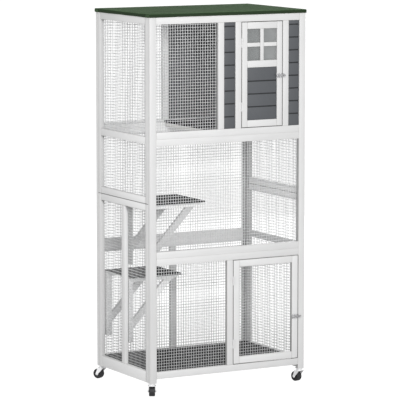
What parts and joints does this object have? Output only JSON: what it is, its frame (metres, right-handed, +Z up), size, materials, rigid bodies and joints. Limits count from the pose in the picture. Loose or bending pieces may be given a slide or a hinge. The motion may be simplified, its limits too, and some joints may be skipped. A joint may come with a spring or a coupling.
{
  "type": "outdoor cat enclosure",
  "caption": "Tall wheeled wooden cat enclosure with wire net walls, felt shelves, a boarded resting place with a window door, a wide net door and a flat felt roof.",
  "frame": {"origin": "on the ground under the middle of the frame", "axes": "+Z up, the doors face -Y, +X to the right seen from the front"},
  "size_m": [0.8208, 0.5708, 1.719],
  "materials": {
    "white_paint": "satin white paint on softwood",
    "grey_paint": "satin grey paint on grooved boards",
    "bare_wood": "bare board",
    "black_felt": "coarse mineral felt",
    "green_felt": "coarse mineral roofing felt",
    "galvanised_wire": "galvanised",
    "window_pane": "clear sheet",
    "zinc": "zinc plated",
    "tyre": "matt"
  },
  "bodies": {
    "frame": {"bottom_felt": "black_felt", "bottom_floor": "bare_wood", "bottom_rails": "white_paint", "caster_plates": "zinc", "floor_bearers": "bare_wood", "front_divider_stile": "white_paint", "front_left_post": "white_paint", "front_mesh": "galvanised_wire", "front_right_post": "white_paint", "front_siding": "grey_paint", "hinge_frame_leaves": "white_paint", "latch_keepers": "zinc", "left_centre_stile": "white_paint", "left_mesh": "galvanised_wire", "lower_door_hinge_stile": "white_paint", "lower_rails": "white_paint", "lower_shelf": "white_paint", "lower_shelf_brackets": "white_paint", "rear_centre_stile": "white_paint", "rear_divider_stile": "white_paint", "rear_left_post": "white_paint", "rear_mesh": "galvanised_wire", "rear_right_post": "white_paint", "rear_siding": "grey_paint", "rest_felt": "black_felt", "rest_floor": "bare_wood", "right_lower_rail": "white_paint", "right_mesh": "galvanised_wire", "right_siding": "grey_paint", "roof_deck": "bare_wood", "roof_felt": "green_felt", "shelf_felts": "black_felt", "side_middle_rails": "white_paint", "top_rails": "white_paint", "upper_door_hinge_stile": "white_paint", "upper_door_latch_stile": "white_paint", "upper_rails": "white_paint", "upper_shelf": "white_paint", "upper_shelf_brackets": "white_paint"},
    "upper_door": {"upper_door_frame": "white_paint", "upper_door_siding": "grey_paint", "upper_door_window_bars": "white_paint", "upper_door_pane": "window_pane", "upper_door_hinge_leaves": "white_paint", "upper_latch_base": "zinc"},
    "lower_door": {"lower_door_frame": "white_paint", "lower_door_mesh": "galvanised_wire", "lower_door_hinge_leaves": "white_paint", "lower_latch_base": "zinc"},
    "upper_latch": {"upper_latch_bolt": "zinc"},
    "lower_latch": {"lower_latch_bolt": "zinc"},
    "front_left_fork": {"front_left_caster_fork": "zinc"},
    "front_left_wheel": {"front_left_caster_wheel": "tyre"},
    "front_right_fork": {"front_right_caster_fork": "zinc"},
    "front_right_wheel": {"front_right_caster_wheel": "tyre"},
    "rear_left_fork": {"rear_left_caster_fork": "zinc"},
    "rear_left_wheel": {"rear_left_caster_wheel": "tyre"},
    "rear_right_fork": {"rear_right_caster_fork": "zinc"},
    "rear_right_wheel": {"rear_right_caster_wheel": "tyre"}
  },
  "joints": [
    {"name": "upper_door_swing", "type": "hinge", "parent": "frame", "child": "upper_door", "pos_m": [0.06725, -0.269, 1.4315], "axis": [0, 0, -1], "range_deg": [0, 110]},
    {"name": "lower_door_swing", "type": "hinge", "parent": "frame", "child": "lower_door", "pos_m": [0.02525, -0.269, 0.3535], "axis": [0, 0, -1], "range_deg": [0, 110]},
    {"name": "upper_latch_slide", "type": "slide", "parent": "upper_door", "child": "upper_latch", "axis": [1, 0, 0], "range_m": [0, 0.014]},
    {"name": "lower_latch_slide", "type": "slide", "parent": "lower_door", "child": "lower_latch", "axis": [1, 0, 0], "range_m": [0, 0.014]},
    {"name": "front_left_swivel", "type": "hinge", "parent": "frame", "child": "front_left_fork", "pos_m": [-0.384, -0.249, 0.053], "axis": [0, 0, 1], "continuous": true},
    {"name": "front_left_roll", "type": "hinge", "parent": "front_left_fork", "child": "front_left_wheel", "pos_m": [-0.37555, -0.23311, 0.023], "axis": [-0.8829, 0.4695, 0], "continuous": true},
    {"name": "front_right_swivel", "type": "hinge", "parent": "frame", "child": "front_right_fork", "pos_m": [0.384, -0.249, 0.053], "axis": [0, 0, 1], "continuous": true},
    {"name": "front_right_roll", "type": "hinge", "parent": "front_right_fork", "child": "front_right_wheel", "pos_m": [0.37995, -0.23146, 0.023], "axis": [-0.9744, -0.225, 0], "continuous": true},
    {"name": "rear_left_swivel", "type": "hinge", "parent": "frame", "child": "rear_left_fork", "pos_m": [-0.384, 0.249, 0.053], "axis": [0, 0, 1], "continuous": true},
    {"name": "rear_left_roll", "type": "hinge", "parent": "rear_left_fork", "child": "rear_left_wheel", "pos_m": [-0.393, 0.26459, 0.023], "axis": [-0.866, -0.5, 0], "continuous": true},
    {"name": "rear_right_swivel", "type": "hinge", "parent": "frame", "child": "rear_right_fork", "pos_m": [0.384, 0.249, 0.053], "axis": [0, 0, 1], "continuous": true},
    {"name": "rear_right_roll", "type": "hinge", "parent": "rear_right_fork", "child": "rear_right_wheel", "pos_m": [0.384, 0.267, 0.023], "axis": [-1, 0, 0], "continuous": true}
  ]
}
